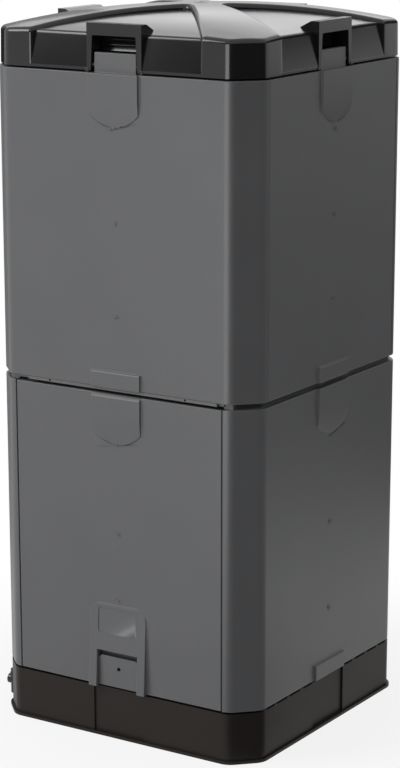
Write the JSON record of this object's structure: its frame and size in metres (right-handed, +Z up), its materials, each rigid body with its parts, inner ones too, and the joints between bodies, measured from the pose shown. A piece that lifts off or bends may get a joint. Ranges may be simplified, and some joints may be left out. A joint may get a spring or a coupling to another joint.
{
  "type": "insulated compost bin",
  "caption": "Square two-stage insulated compost bin with double-wall panels, liquid tank, access doors front and rear, sliding door latches, drain tap and a hinged ventilated lid.",
  "frame": {"origin": "on the ground under the middle of the base, on the flat underside", "axes": "+Z up, front door towards -Y, drain tap towards -X"},
  "size_m": [0.5315, 0.518, 1.179],
  "materials": {
    "panel_plastic": "fine satin moulding grain",
    "lid_plastic": "polished black",
    "base_plastic": "dull dark brown, faint flow marks",
    "liner_plastic": "plain moulded black",
    "insulation_foam": "bead foam",
    "screw_steel": "zinc plated",
    "seal_rubber": "soft black"
  },
  "bodies": {
    "base": {"base_tank": "base_plastic", "base_deck": "base_plastic", "base_grate": "liner_plastic", "lower_left_shell": "panel_plastic", "lower_left_foam": "insulation_foam", "lower_left_liner": "liner_plastic", "lower_right_shell": "panel_plastic", "lower_right_foam": "insulation_foam", "lower_right_liner": "liner_plastic", "front_lintel": "panel_plastic", "rear_lintel": "panel_plastic", "lintel_screws": "screw_steel", "upper_front_shell": "panel_plastic", "upper_front_foam": "insulation_foam", "upper_front_liner": "liner_plastic", "upper_rear_shell": "panel_plastic", "upper_rear_foam": "insulation_foam", "upper_rear_liner": "liner_plastic", "upper_left_shell": "panel_plastic", "upper_left_foam": "insulation_foam", "upper_left_liner": "liner_plastic", "upper_right_shell": "panel_plastic", "upper_right_foam": "insulation_foam", "upper_right_liner": "liner_plastic", "air_core_lower": "liner_plastic", "air_core_upper": "liner_plastic", "air_core_cap": "liner_plastic", "tap_body": "lid_plastic", "tap_washer": "seal_rubber", "tap_nut": "lid_plastic"},
    "tap_lever": {"tap_lever": "lid_plastic"},
    "front_door": {"front_door_shell": "panel_plastic", "front_door_foam": "insulation_foam", "front_door_liner": "liner_plastic", "front_door_pins": "screw_steel"},
    "front_latch": {"front_latch": "panel_plastic", "front_latch_bolt": "panel_plastic"},
    "rear_door": {"rear_door_shell": "panel_plastic", "rear_door_foam": "insulation_foam", "rear_door_liner": "liner_plastic", "rear_door_pins": "screw_steel"},
    "rear_latch": {"rear_latch": "panel_plastic", "rear_latch_bolt": "panel_plastic"},
    "lid": {"lid_shell": "lid_plastic", "lid_foam": "insulation_foam", "lid_liner": "liner_plastic", "lid_seal": "seal_rubber"}
  },
  "joints": [
    {"name": "lid_hinge", "type": "hinge", "parent": "base", "child": "lid", "pos_m": [0, 0.241, 1.098], "axis": [-1, 0, 0], "range_deg": [0, 105]},
    {"name": "front_door_hinge", "type": "hinge", "parent": "base", "child": "front_door", "pos_m": [0, -0.242, 0.572], "axis": [-1, 0, 0], "range_deg": [0, 80]},
    {"name": "front_latch_slide", "type": "slide", "parent": "front_door", "child": "front_latch", "axis": [0, 0, -1], "range_m": [0, 0.009]},
    {"name": "rear_door_hinge", "type": "hinge", "parent": "base", "child": "rear_door", "pos_m": [0, 0.242, 0.572], "axis": [1, 0, 0], "range_deg": [0, 80]},
    {"name": "rear_latch_slide", "type": "slide", "parent": "rear_door", "child": "rear_latch", "axis": [0, 0, -1], "range_m": [0, 0.009]},
    {"name": "tap_turn", "type": "hinge", "parent": "base", "child": "tap_lever", "pos_m": [-0.267, -0.18, 0.045], "axis": [0, 0, 1], "range_deg": [0, 90]}
  ]
}
